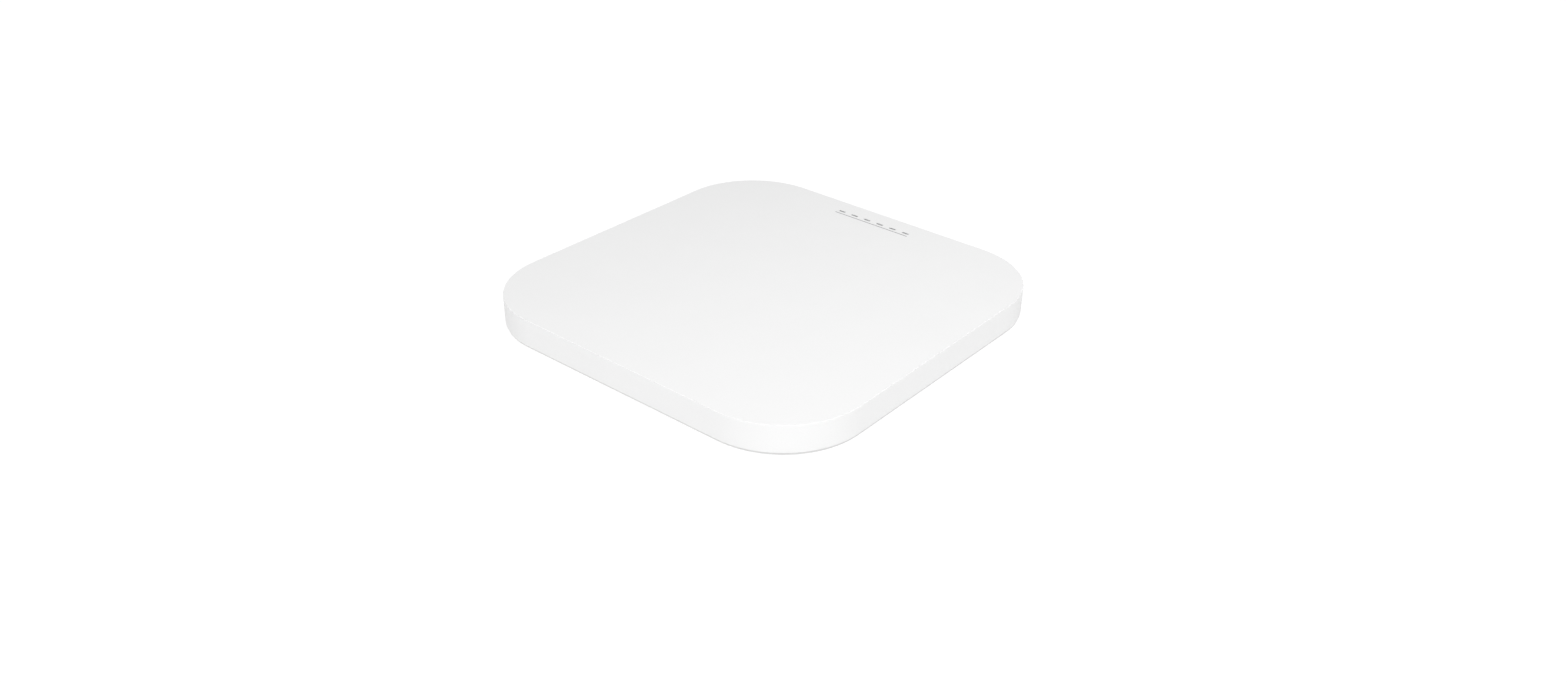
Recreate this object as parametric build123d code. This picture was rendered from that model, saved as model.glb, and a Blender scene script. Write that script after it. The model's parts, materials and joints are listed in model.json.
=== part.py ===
"""Ceiling access point: a thin square slab with a white front cover, a die-cast rear housing and a
twist-lock mounting plate, with the circuit board, radios, antennas and power section inside.

Row frame, millimetres: the origin is the centre of the mounting plate's back face, +Z points out of
the front cover, and +Y points to the edge that carries the status strip. The cable bay opens to -Y.
"""
import os
from math import cos, radians, sin, sqrt

from build123d import *

PAST = 1.0                   # how far a cut runs past the surface that it opens
BITE = 0.5                   # how far an added solid reaches into its neighbour

# ---------------------------------------------------------------- casing
SIDE = 220.0                 # width and depth of the front cover
CORNER_R = 46.0              # plan radius of its corners
FACE_Z = 33.2                # height of the front face above the mounting surface
SKIRT_H = 14.9               # height of the cover's side wall
FACE_EDGE_R = 0.3            # rounding round the front face
SKIRT_EDGE_R = 0.3           # rounding along the foot of the side wall
WALL = 2.2                   # cover wall
RIB_AT = [-66.0, -33.0, 0.0, 33.0, 66.0]
RIB_T, RIB_DEEP, RIB_SHORT = 1.2, 1.6, 1.0   # ribs inside the cover stop just short of its side walls

SEAM = 0.3                   # gap between the cover and the rim under it
RIM_T = 1.0                  # housing's rim, which shows under the side wall
RIM_INSET = 0.5
RIM_CHAMFER = 0.3
FLANGE_T = 1.6
FLANGE_GAP = 0.3             # between the flange's edge and the skirt

BACK_Z = 6.4                 # rear housing's back face
TUB_SIDE, TUB_R = 170.0, 30.0            # rear tub at its back face
TUB_TOP_SIDE, TUB_TOP_R = 176.0, 33.0
TUB_WALL, TUB_EDGE_R = 2.4, 1.5

SKIRT_Z = FACE_Z - SKIRT_H
CEILING_Z = FACE_Z - WALL                # underside of the cover's top wall
FLANGE_Z = SKIRT_Z - SEAM - RIM_T        # underside of the housing's flange
FLANGE_TOP = FLANGE_Z + FLANGE_T
FLANGE_SIDE = SIDE - 2 * (WALL + FLANGE_GAP)
RIM_SIDE = SIDE - 2 * RIM_INSET
TUB_FLOOR = BACK_Z + TUB_WALL

FIN_T, FIN_PITCH, FIN_DROP = 1.6, 4.6, 2.6
FIN_ROWS, FIN_FIRST_Y = 8, 50.0
FIN_INSET = 3.0              # fins stay this far inside the tub's outline
FIN_CLEAR_R, FIN_CLEAR_X = 74.0, 52.0    # and out of this circle and this middle band

# ---------------------------------------------------------------- status strip
STRIP_X, STRIP_Y = -3.0, 98.4            # middle of the row of status windows
STRIP_COUNT, STRIP_PITCH = 6, 9.0
WINDOW_W, WINDOW_H, WINDOW_R = 4.6, 1.5, 0.6
LENS_RECESS = 0.3
GROOVE_Y, GROOVE_LEN, GROOVE_W, GROOVE_DEEP = 95.6, 51.0, 0.8, 0.5
LINE_RECESS = 0.1
STRIP_ROOM = (62.0, 14.0)    # part of the ceiling that the ribs leave free
PIPE_L, PIPE_W, PIPE_R = 56.0, 5.0, 1.5
PIPE_Z, PIPE_T = 26.0, 2.0
PIPE_FOOT_Z = 22.4           # lower end of the light pipe's posts
PEG_R, PEG_X = 1.5, 26.2
COMB_L, COMB_W, COMB_TOP = 58.0, 6.4, 25.8
WELL_L, WELL_W = 6.0, 3.4
LED_L, LED_W, LED_H = 3.0, 1.4, 0.8

# ---------------------------------------------------------------- circuit board and fasteners
BOARD_SIDE, BOARD_R, BOARD_T = 204.0, 40.0, 1.6
BOARD_Z = 19.5
BOARD_TOP = BOARD_Z + BOARD_T

COVER_SCREWS = [(sx * 82.0, sy * 82.0) for sx in (-1, 1) for sy in (-1, 1)] + [(-99.0, 0), (99.0, 0)]
BOARD_SCREWS = [(sx * 70.0, y) for sx in (-1, 1) for y in (-68.0, 4.0, 70.0)]
BOSS_R = 3.5
SCREW_R, SCREW_HOLE_R, SCREW_CLEAR_R = 1.2, 1.27, 1.6
COVER_HEAD_R, COVER_HEAD_H, COVER_SCREW_L, COVER_HOLE_DEEP = 2.8, 1.6, 9.5, 9.5
COVER_SEAT_R, COVER_SEAT_DEEP = 3.1, 0.5     # counterbore for the heads of the cover screws
SCREW_SEAT = FLANGE_Z + COVER_SEAT_DEEP
BOARD_HEAD_R, BOARD_HEAD_H, BOARD_SCREW_L, BOARD_HOLE_DEEP = 2.6, 1.5, 8.0, 7.5
BOARD_ROOM = 1.0             # between the board and the cover's bosses

GROUND_AT = (44.0, -74.0)    # ground screw on the back face
GROUND_HEAD_R, GROUND_HEAD_H, GROUND_R, GROUND_L = 3.6, 2.2, 1.5, 2.8
WASHER_R, WASHER_T = 4.3, 1.0
GROUND_HOLE_R, GROUND_HOLE_DEEP = 1.6, 2.0

# ---------------------------------------------------------------- cable bay and sockets
BAY_HALF = 32.0              # half its width along X
BAY_BACK_Y = -28.0           # the wall that holds the sockets
BAY_TOP_Z = 17.4
BAY_WALL = 1.8
BAY_DEEP_Y = -80.0           # beyond this the bay is only as deep as the flange allows
SOCKET_HALF = 29.6           # half the width of the window for the sockets
POCKET_FRONT, POCKET_BACK, POCKET_BELOW = 0.3, 0.5, 0.2  # room that the housing leaves round them
BEZEL_FRONT_Y, BEZEL_T = -29.2, 1.0
BEZEL_PLAY = 0.15            # round each socket
SOCKET_PROUD = 0.15          # the sockets stand this far out of the bezel
SOCKET_Y = BEZEL_FRONT_Y - SOCKET_PROUD  # front of the sockets

JACK_W, JACK_H, JACK_DEPTH = 16.0, 11.5, 15.4
JACK_XS = [-21.0, -2.5]
JACK_WALL = 0.4
JACK_PLAY, JACK_RECESS = 0.02, 0.3       # plastic body inside its metal shell
JACK_Z = BOARD_Z - JACK_H
PLUG_W, PLUG_H, PLUG_DEPTH = 11.9, 7.4, 11.8     # plug cavity, deep from the socket's front
PLUG_UP = 1.3                # cavity's floor above the shell's underside
PLUG_Z = JACK_Z + PLUG_UP
LATCH_W, LATCH_H, LATCH_DEPTH = 6.4, 1.6, 7.5
CONTACT_COUNT, CONTACT_PITCH = 8, 1.02
CONTACT_T, CONTACT_RISE, CONTACT_L, CONTACT_SETBACK = 0.35, 0.45, 9.0, 2.6

POWER_X, POWER_W, POWER_H, POWER_DEPTH = 13.6, 9.2, 11.2, 14.0
POWER_HOLE_R, POWER_HOLE_DEEP, POWER_PIN_R, POWER_PIN_SETBACK = 3.1, 10.0, 1.0, 0.8
PIN_TIP_R = 0.5
RESET_X, RESET_Z, RESET_R = 25.0, 14.0, 1.0
RESET_HOLE_R, RESET_PLAY, RESET_TIP_R = 1.2, 0.08, 0.3
BUTTON_L, BUTTON_SETBACK = 3.0, 0.8      # the button sits behind the bay's back wall line
SWITCH_W, SWITCH_DEPTH, SWITCH_BELOW, SWITCH_BORE = 6.2, 4.0, 3.1, 4.4

LOCK_X, LOCK_Y, LOCK_Z = 81.8, -46.0, 12.0
LOCK_W, LOCK_H = 8.6, 4.6    # outside of the lock slot's liner
LINER_T, LINER_L = 0.8, 3.6
LINER_LIP = 2.0              # its inner lip is this much wider at each end
LIP_HALF_H = 3.0

# ---------------------------------------------------------------- studs, plate and detent
STUD_PCR = 58.0              # radius of the circle that the mounting studs stand on
STUD_ANGLES = [45, 135, 225, 315]
STUD_R, STUD_HEAD_R = 2.5, 4.5
STUD_HEAD_Z, STUD_NECK_Z = 2.4, 4.2
STUD_CHAMFER = 0.6
STUD_HEX, STUD_HEX_DEEP = 3.0, 1.0       # hexagon across its flats, and its depth
STUD_SHANK_R, STUD_SHANK_IN = 1.5, 1.0   # the shank goes this far past the tub's floor
STUD_HOLE_R, STUD_HOLE_IN = 1.6, 1.2
STUD_BOSS_R, STUD_BOSS_H = 4.4, 2.6

TWIST = 16.0                 # degrees that the plate turns to come off the studs
PLATE_R, PLATE_T, PLATE_RIM_H, PLATE_EDGE_R = 70.0, 1.5, 5.4, 1.0
PAD_TOP, PAD_W, PAD_HOLLOW_W = 6.0, 18.0, 15.0   # raised pads, which the studs hook over
NECK_PLAY, HEAD_PLAY = 0.5, 0.6          # keyhole over the stud: width, and radius
CABLE_HOLE_Y, CABLE_HOLE_R = -47.0, 17.5
ANCHOR_PITCH = 60.3          # four ceiling screws on a square
GANG_PITCH = 83.3            # two screws for a single-gang box
ANCHOR_R = 2.25

LABEL_Y = 12.0
LABEL_W, LABEL_D, LABEL_R, LABEL_T = 40.0, 26.0, 2.0, 0.2
WINDOW_EXTRA, PLATE_WINDOW_R = 4.0, 5.0  # the plate's opening is this much larger than the label

NIB_PCR, NIB_R, NIB_UP = 62.0, 1.2, 0.6  # nib of the plate's detent spring
NIB_PLAY, NIB_GROOVE_DEEP = 1.2, 0.9
LEAF_Y, LEAF_W, LEAF_D, LEAF_T = 50.0, 16.0, 7.0, 0.6
TONGUE_HALF, TONGUE_Z = 2.5, 5.0
TONGUE_BEND_Y, TONGUE_END_Y = 56.0, 64.0
RIVET_X, RIVET_R, RIVET_HOLE_R, RIVET_HEAD_R, RIVET_HEAD_H = 5.0, 1.0, 1.05, 2.0, 0.7

# ---------------------------------------------------------------- circuits: (x, y, width, depth)
CHIP_T, PAD_T = 1.6, 1.0
CPU = (0.0, 34.0, 21.0)      # x, y, side
RADIOS = [(-48.0, 34.0, 13.0), (48.0, 34.0, 13.0), (0.0, 66.0, 11.0)]
PEDESTAL_Z = BOARD_Z - CHIP_T - PAD_T
PEDESTAL_EXTRA, PEDESTAL_R = 3.0, 2.0
MEMORY = [(x, y, 9.0, 13.0) for x in (-20.0, 20.0) for y in (28.0, 44.0)]
MEMORY_T = 1.1
FLASH = [(30.0, 8.0, 8.0, 6.0), (-44.0, 4.0, 12.0, 18.0)]
FLASH_T = 1.0
AMPLIFIER, AMPLIFIER_T, AMPLIFIER_FIRST_X, AMPLIFIER_PITCH = 5.0, 0.9, 34.0, 9.4
AMPLIFIER_YS = [24.0, 44.0]
CRYSTALS = [(0.0, 20.0, 3.2, 2.5), (-60.0, 14.0, 3.2, 2.5), (60.0, 14.0, 3.2, 2.5)]
PASSIVE_ROWS = [(-11.7, 48.0), (-11.7, 16.0), (45.0, -18.0)]     # where each row of ten starts
PASSIVE_COUNT, PASSIVE_PITCH, PASSIVE_W, PASSIVE_D = 10, 2.6, 1.0, 1.8
SMALL_T = 0.8

CANS = [(-48.0, 34.0, 44.0, 36.0), (48.0, 34.0, 44.0, 36.0), (0.0, 42.0, 36.0, 62.0)]
CAN_H, CAN_T, CAN_LAP, CAN_R = 3.2, 0.3, 0.05, 0.8
CAN_FRAME_BELOW, CAN_LIP_UP = 0.4, 0.8   # frame under the lid's top, and lid's lip over the board
VENT_R, VENT_COLUMNS, VENT_ROWS = 0.8, 4, 3

NETWORK_Y, NETWORK_W, NETWORK_D, NETWORK_H = 2.0, 14.6, 9.6, 5.6
POWER_AT = (56.0, -54.0)     # power transformer
CORE_W, CORE_D, CORE_LOW, CORE_HIGH = 15.0, 13.0, 9.4, 1.2       # heights measured from the board
CORE_LEG, CORE_YOKE = 2.7, 1.6
WINDING_W, WINDING_H, WINDING_R, WINDING_HALF = 9.0, 4.6, 2.0, 8.0
BOBBIN_SIDE, BOBBIN_T = 17.0, 1.1
INDUCTORS = [(45.0, -34.0), (60.0, -34.0), (72.0, -34.0), (44.0, -8.0)]
INDUCTOR_SIDE, INDUCTOR_H, INDUCTOR_R = 8.0, 4.2, 1.6
CAPACITORS = [(41.0, -66.0), (41.0, -54.0), (-46.0, -60.0), (-58.0, -60.0)]
CAPACITOR_R, CAPACITOR_H, CAPACITOR_EDGE_R = 4.0, 9.0, 0.7
SEAT_SIDE, SEAT_T, SEAT_R = 8.6, 1.0, 1.0

ANTENNA_PCR = 94.0           # the side antennas stand on this circle
LOW_BAND_ANGLES, LOW_BAND_W, LOW_BAND_H = (25, 155, 205, 335), 30.0, 7.6
HIGH_BAND_ANGLES, HIGH_BAND_W, HIGH_BAND_H = (58, 122, 238, 302), 16.0, 6.8
SCAN_Y, SCAN_W, SCAN_H = -93.0, 14.0, 6.0
SHEET, ARM_D, ANTENNA_WALL_H, LEG_W, LEG_GAP, FOOT_D = 0.4, 5.0, 5.0, 1.8, 4.6, 2.4
COAX_R, COAX_BEND, COAX_UP = 0.57, 8.0, 1.2
COAX_XYS = [(14.0, -89.0), (14.0, -60.0), (26.0, -40.0), (26.0, -4.0)]
COAX_PLUG_R, COAX_RING_H, COAX_PLUG_TOP = 1.5, 0.6, 2.0
COAX_HOOD_W, COAX_HOOD_D, COAX_HOOD_R = 2.6, 3.0, 0.8
COAX_RING_ON, COAX_HOOD_ON = 1.7, 1.5    # how far the plug's two parts lie beyond the coax's end
FOAM_FAR, FOAM_T, FOAM_L = 94.0, 3.0, 10.0
FOAM_ALONG_X, FOAM_ALONG_Y = 34.0, 30.0


# ---------------------------------------------------------------- helpers
def slab(side_x, side_y, radius, low, high, x=0.0, y=0.0):
    """A block with rounded plan corners, from low to high."""
    outline = RectangleRounded(side_x, side_y, radius)
    return Pos(x, y, low) * extrude(outline, high - low)


def block(side_x, side_y, low, high, x=0.0, y=0.0):
    return Pos(x, y, low) * extrude(Rectangle(side_x, side_y), high - low)


def rod(radius, low, high, x=0.0, y=0.0):
    return Pos(x, y, low) * extrude(Circle(radius), high - low)


def rod_y(radius, low, high, x, z):
    """A round bar along Y, from low to high."""
    return Pos(x, low, z) * Rot(-90, 0, 0) * extrude(Circle(radius), high - low)


def polar(radius, degrees):
    return radius * cos(radians(degrees)), radius * sin(radians(degrees))


def both_ways(x, y):
    """The four mirror images of a place."""
    return [(sx * x, sy * y) for sx in (-1, 1) for sy in (-1, 1)]


def tapered(side, radius, low, top_side, top_radius, high):
    """A tub-shaped solid whose rounded plan grows from low to high."""
    bottom = Pos(0, 0, low) * RectangleRounded(side, side, radius)
    top = Pos(0, 0, high) * RectangleRounded(top_side, top_side, top_radius)
    return loft([bottom, top])


def arc_slot(radius, start, end, width):
    """A slot that follows an arc about the origin, with round ends at the two angles."""
    arc = CenterArc((0, 0), radius, start, end - start)
    return SlotArc(arc, width)


def along_x(points, half_width, x=0.0):
    """A bar along X whose (y, z) outline is given, reaching half_width to each side of x."""
    outline = Polyline(*points, close=True)
    return Pos(x, 0, 0) * extrude(Plane.YZ * make_face(outline), half_width, both=True)


def together(solids):
    """Several separate solids in one node."""
    flat = [s for shape in solids for s in shape.solids()]
    return Compound(children=flat) if len(flat) > 1 else flat[0]


def window_xs():
    first = STRIP_X - (STRIP_COUNT - 1) / 2 * STRIP_PITCH
    return [first + i * STRIP_PITCH for i in range(STRIP_COUNT)]


def groove_line(low, high):
    """The long thin shape beside the status windows, from low to high."""
    return Pos(STRIP_X, GROOVE_Y, low) * extrude(SlotOverall(GROOVE_LEN, GROOVE_W), high - low)


def rivet_places():
    return [(side * RIVET_X, LEAF_Y) for side in (-1, 1)]


# ---------------------------------------------------------------- casing
def front_cover():
    inner = SIDE - 2 * WALL
    rib_low, rib_high = CEILING_Z - RIB_DEEP, CEILING_Z + BITE
    rib_l = inner - 2 * RIB_SHORT
    body = slab(SIDE, SIDE, CORNER_R, SKIRT_Z, FACE_Z)
    body = fillet(body.faces().sort_by(Axis.Z)[-1].edges(), FACE_EDGE_R)
    body = fillet(body.faces().sort_by(Axis.Z)[0].edges(), SKIRT_EDGE_R)
    body -= slab(inner, inner, CORNER_R - WALL, SKIRT_Z - PAST, CEILING_Z)
    for at in RIB_AT:
        body += block(RIB_T, rib_l, rib_low, rib_high, x=at)
        body += block(rib_l, RIB_T, rib_low, rib_high, y=at)
    body -= block(*STRIP_ROOM, rib_low - PAST, CEILING_Z, STRIP_X, STRIP_Y)
    for x, y in COVER_SCREWS:
        body += rod(BOSS_R, FLANGE_TOP, CEILING_Z + BITE, x, y)
        body -= rod(SCREW_HOLE_R, FLANGE_TOP - PAST, FLANGE_TOP + COVER_HOLE_DEEP, x, y)
    body -= groove_line(FACE_Z - GROOVE_DEEP, FACE_Z + PAST)
    for x in window_xs():
        body -= slab(WINDOW_W, WINDOW_H, WINDOW_R, CEILING_Z - PAST, FACE_Z + PAST, x, STRIP_Y)
    return body


def accent_line():
    """Grey insert that fills the groove beside the status windows."""
    return groove_line(FACE_Z - GROOVE_DEEP, FACE_Z - LINE_RECESS)


def light_pipe():
    """One clear moulding: a bar with a post up to each window and two pegs against the cover."""
    play, shy = 0.2, 0.05
    pipe = slab(PIPE_L, PIPE_W, PIPE_R, PIPE_Z, PIPE_Z + PIPE_T, STRIP_X, STRIP_Y)
    for x in window_xs():
        pipe += slab(WINDOW_W - play, WINDOW_H - play, WINDOW_R - play / 2,
                     PIPE_FOOT_Z, FACE_Z - LENS_RECESS, x, STRIP_Y)
    for side in (-1, 1):
        pipe += rod(PEG_R, PIPE_Z + PIPE_T - BITE, CEILING_Z - shy, STRIP_X + side * PEG_X, STRIP_Y)
    return pipe


def light_blocker():
    """Black foam comb under the light pipe, with one well for each LED."""
    comb = block(COMB_L, COMB_W, BOARD_TOP, COMB_TOP, STRIP_X, STRIP_Y)
    for x in window_xs():
        comb -= block(WELL_L, WELL_W, BOARD_TOP - PAST, COMB_TOP + PAST, x, STRIP_Y)
    return comb


def fins():
    """Cooling fins in the four corners of the back face, clear of the mounting plate."""
    low, high = BACK_Z - FIN_DROP, BACK_Z + BITE
    reach = TUB_SIDE - 2 * FIN_INSET
    rows = [side * (FIN_FIRST_Y + i * FIN_PITCH) for i in range(FIN_ROWS) for side in (-1, 1)]
    comb = block(TUB_SIDE, FIN_T, low, high, y=rows[0])
    for y in rows[1:]:
        comb += block(TUB_SIDE, FIN_T, low, high, y=y)
    comb = comb & slab(reach, reach, TUB_R - FIN_INSET, low - PAST, high + PAST)
    comb -= rod(FIN_CLEAR_R, low - PAST, high + PAST)
    return comb - block(2 * FIN_CLEAR_X, TUB_SIDE, low - PAST, high + PAST)


def shell_of_housing():
    """Flange, rim and hollow tub in one casting."""
    shell = slab(FLANGE_SIDE, FLANGE_SIDE, CORNER_R - WALL - FLANGE_GAP, FLANGE_Z, FLANGE_TOP)
    shell += slab(RIM_SIDE, RIM_SIDE, CORNER_R - RIM_INSET, FLANGE_Z, FLANGE_Z + RIM_T)
    shell = chamfer(shell.faces().sort_by(Axis.Z)[0].edges(), RIM_CHAMFER)
    tub = tapered(TUB_SIDE, TUB_R, BACK_Z, TUB_TOP_SIDE, TUB_TOP_R, FLANGE_Z + BITE)
    shell += fillet(tub.faces().sort_by(Axis.Z)[0].edges(), TUB_EDGE_R)
    thin, above = 2 * TUB_WALL, 0.01
    return shell - tapered(TUB_SIDE - thin, TUB_R - TUB_WALL, TUB_FLOOR,
                           TUB_TOP_SIDE - thin, TUB_TOP_R - TUB_WALL, FLANGE_TOP + above)


def with_cable_bay(body):
    """Adds the bay's walls, hollows the bay, and opens the window for the sockets above it."""
    wall_y = BAY_BACK_Y + BAY_WALL
    far_y = BITE - TUB_SIDE / 2
    body += block(2 * (BAY_HALF + BAY_WALL), wall_y - far_y, BACK_Z, BAY_TOP_Z + BAY_WALL,
                  y=(wall_y + far_y) / 2)
    body -= block(2 * BAY_HALF, BAY_BACK_Y - BAY_DEEP_Y, BACK_Z - PAST, BAY_TOP_Z,
                  y=(BAY_BACK_Y + BAY_DEEP_Y) / 2)
    exit_l = SIDE / 2 + BAY_DEEP_Y + BITE
    body -= block(2 * BAY_HALF, exit_l, BACK_Z - PAST, FLANGE_Z, y=exit_l / 2 - SIDE / 2)
    front, back = SOCKET_Y - POCKET_FRONT, SOCKET_Y + JACK_DEPTH + POCKET_BACK
    return body - block(2 * SOCKET_HALF, back - front, JACK_Z - POCKET_BELOW, BAY_TOP_Z + BAY_WALL + PAST,
                        y=(front + back) / 2)


def with_posts(body):
    """Adds the pedestals that carry the chips' heat, the board's posts and the studs' bosses."""
    for x, y, side in [CPU, *RADIOS]:
        wide = side + PEDESTAL_EXTRA
        body += slab(wide, wide, PEDESTAL_R, TUB_FLOOR - BITE, PEDESTAL_Z, x, y)
    for x, y in BOARD_SCREWS:
        body += rod(BOSS_R, TUB_FLOOR - BITE, BOARD_Z, x, y)
        body -= rod(SCREW_HOLE_R, BOARD_Z - BOARD_HOLE_DEEP, BOARD_Z + PAST, x, y)
    for angle in STUD_ANGLES:
        x, y = polar(STUD_PCR, angle)
        body += rod(STUD_BOSS_R, TUB_FLOOR - BITE, TUB_FLOOR + STUD_BOSS_H, x, y)
        body -= rod(STUD_HOLE_R, BACK_Z - PAST, TUB_FLOOR + STUD_HOLE_IN, x, y)
    return body


def rear_housing():
    body = with_posts(with_cable_bay(shell_of_housing()))
    for x, y in COVER_SCREWS:
        body -= rod(SCREW_CLEAR_R, FLANGE_Z - PAST, FLANGE_TOP + PAST, x, y)
        body -= rod(COVER_SEAT_R, FLANGE_Z - PAST, SCREW_SEAT, x, y)
    body += fins()
    # arc groove that the detent spring's nib runs in
    groove = arc_slot(NIB_PCR, 90, 90 + TWIST, 2 * NIB_R + NIB_PLAY)
    body -= Pos(0, 0, BACK_Z - PAST) * extrude(groove, PAST + NIB_GROOVE_DEEP)
    body -= rod(GROUND_HOLE_R, BACK_Z - PAST, BACK_Z + GROUND_HOLE_DEEP, *GROUND_AT)
    lock_cut = 12.0
    return body - block(lock_cut, LOCK_W, LOCK_Z - LOCK_H / 2, LOCK_Z + LOCK_H / 2,
                        LOCK_X + lock_cut / 2, LOCK_Y)


def lock_slot_insert():
    """Steel liner pressed into the side wall, with the slot for a security lock."""
    liner = block(LINER_L, LOCK_W, LOCK_Z - LOCK_H / 2, LOCK_Z + LOCK_H / 2, LOCK_X + LINER_L / 2, LOCK_Y)
    liner += block(LINER_T, LOCK_W + 2 * LINER_LIP, LOCK_Z - LIP_HALF_H, LOCK_Z + LIP_HALF_H,
                   LOCK_X - LINER_T / 2, LOCK_Y)
    slot_w, slot_half_h = LOCK_W - 2 * LINER_T, LOCK_H / 2 - LINER_T
    return liner - block(3 * LINER_L, slot_w, LOCK_Z - slot_half_h, LOCK_Z + slot_half_h, LOCK_X, LOCK_Y)


def pan_screw(head_r, head_h, shank_r, length, x, y, seat, up):
    """A cross-head screw. seat is where its head bears, and up says which way the shank points."""
    rounding, cross_l, cross_w, cross_deep = 0.45, 1.1, 0.28, 0.5     # shares of the head's size
    far = seat + up * length
    shank = rod(shank_r, min(seat, far), max(seat, far), x, y)
    top = seat - up * head_h
    head = rod(head_r, min(seat, top), max(seat, top), x, y)
    outer_face = head.faces().filter_by(Axis.Z).sort_by(Axis.Z)[0 if up > 0 else -1]
    head = fillet(outer_face.edges(), head_h * rounding)
    deep = head_h * cross_deep
    cross_low = top if up > 0 else top - deep
    for spin in (0, 90):
        head -= Pos(x, y, cross_low) * Rot(0, 0, spin) * block(head_r * cross_l, head_r * cross_w, 0, deep)
    return shank + head


def cover_screws():
    return together([pan_screw(COVER_HEAD_R, COVER_HEAD_H, SCREW_R, COVER_SCREW_L, x, y, SCREW_SEAT, 1)
                     for x, y in COVER_SCREWS])


def board_screws():
    return together([pan_screw(BOARD_HEAD_R, BOARD_HEAD_H, SCREW_R, BOARD_SCREW_L, x, y, BOARD_TOP, -1)
                     for x, y in BOARD_SCREWS])


def ground_screw():
    x, y = GROUND_AT
    seat = BACK_Z - WASHER_T
    screw = pan_screw(GROUND_HEAD_R, GROUND_HEAD_H, GROUND_R, GROUND_L, x, y, seat, 1)
    return screw + rod(WASHER_R, seat, BACK_Z, x, y)


def mounting_studs():
    """Shouldered steel studs with a hexagon recess: the plate's keyholes slide round their necks."""
    studs = []
    hexagon = RegularPolygon(STUD_HEX / sqrt(3), 6)
    for angle in STUD_ANGLES:
        x, y = polar(STUD_PCR, angle)
        head = rod(STUD_HEAD_R, STUD_HEAD_Z, STUD_NECK_Z, x, y)
        head = chamfer(head.edges().filter_by(GeomType.CIRCLE).sort_by(Axis.Z)[0], STUD_CHAMFER)
        head -= Pos(x, y, STUD_HEAD_Z - PAST) * extrude(hexagon, PAST + STUD_HEX_DEEP)
        neck = rod(STUD_R, STUD_NECK_Z, BACK_Z, x, y)
        studs.append(head + neck + rod(STUD_SHANK_R, BACK_Z, TUB_FLOOR + STUD_SHANK_IN, x, y))
    return together(studs)


def rear_label():
    return slab(LABEL_W, LABEL_D, LABEL_R, BACK_Z - LABEL_T, BACK_Z, y=LABEL_Y)


# ---------------------------------------------------------------- mounting plate
def mounting_plate():
    """Round pan with a rim, four raised pads with keyholes, and the holes for cables and screws."""
    plate = rod(PLATE_R, 0, PLATE_RIM_H) - rod(PLATE_R - PLATE_T, PLATE_T, PLATE_RIM_H + PAST)
    plate = fillet(plate.edges().filter_by(GeomType.CIRCLE).sort_by(Axis.Z)[0], PLATE_EDGE_R)
    for angle in STUD_ANGLES:
        plate += extrude(arc_slot(STUD_PCR, angle - TWIST, angle, PAD_W), PAD_TOP)
    for angle in STUD_ANGLES:
        open_end = angle - TWIST
        hollow = arc_slot(STUD_PCR, open_end, angle, PAD_HOLLOW_W)
        plate -= Pos(0, 0, -PAST) * extrude(hollow, PAST + PAD_TOP - PLATE_T)
        plate -= extrude(arc_slot(STUD_PCR, open_end, angle, 2 * STUD_R + NECK_PLAY), PAD_TOP + PAST)
        plate -= rod(STUD_HEAD_R + HEAD_PLAY, 0, PAD_TOP + PAST, *polar(STUD_PCR, open_end))
    low, high = -PAST, PLATE_T + BITE
    plate -= rod(CABLE_HOLE_R, low, high, 0, CABLE_HOLE_Y)
    plate -= slab(LABEL_W + WINDOW_EXTRA, LABEL_D + WINDOW_EXTRA, PLATE_WINDOW_R, low, high, y=LABEL_Y)
    holes = both_ways(ANCHOR_PITCH / 2, ANCHOR_PITCH / 2) + [(-GANG_PITCH / 2, 0), (GANG_PITCH / 2, 0)]
    for x, y in holes:
        plate -= rod(ANCHOR_R, low, high, x, y)
    for x, y in rivet_places():
        plate -= rod(RIVET_HOLE_R, low, high, x, y)
    return plate


def detent_spring():
    """Spring-steel leaf on the plate whose nib clicks into the housing and stops the plate turning."""
    leaf_top, tongue_top = PLATE_T + LEAF_T, TONGUE_Z + LEAF_T
    bend_back = 0.3          # the bend's outer corner lies this far behind its inner one
    nib_root = 0.2           # the nib starts inside the tongue
    spring = block(LEAF_W, LEAF_D, PLATE_T, leaf_top, y=LEAF_Y)
    spring += along_x([(LEAF_Y, PLATE_T), (TONGUE_BEND_Y, TONGUE_Z), (TONGUE_END_Y, TONGUE_Z),
                       (TONGUE_END_Y, tongue_top), (TONGUE_BEND_Y - bend_back, tongue_top),
                       (LEAF_Y, leaf_top)], TONGUE_HALF)
    spring += rod(NIB_R, TONGUE_Z + nib_root, BACK_Z + NIB_UP, *polar(NIB_PCR, 90))
    for x, y in rivet_places():
        spring -= rod(RIVET_HOLE_R, 0, leaf_top + PAST, x, y)
    return spring


def spring_rivets():
    top = PLATE_T + LEAF_T
    return together([rod(RIVET_R, 0, top, x, y) + rod(RIVET_HEAD_R, top, top + RIVET_HEAD_H, x, y)
                     for x, y in rivet_places()])


# ---------------------------------------------------------------- board and what is on it
def main_board():
    board = slab(BOARD_SIDE, BOARD_SIDE, BOARD_R, BOARD_Z, BOARD_TOP)
    for x, y in COVER_SCREWS:
        board -= rod(BOSS_R + BOARD_ROOM, BOARD_Z - PAST, BOARD_TOP + PAST, x, y)
    for x, y in BOARD_SCREWS:
        board -= rod(SCREW_CLEAR_R, BOARD_Z - PAST, BOARD_TOP + PAST, x, y)
    return board


def back_chips(chips, height):
    """Rectangular chips, (x, y, width, depth) each, hanging from the board's back side."""
    return together([block(w, d, BOARD_Z - height, BOARD_Z, x, y) for x, y, w, d in chips])


def processor():
    x, y, side = CPU
    return back_chips([(x, y, side, side)], CHIP_T)


def radio_chips():
    return back_chips([(x, y, side, side) for x, y, side in RADIOS], CHIP_T)


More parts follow.
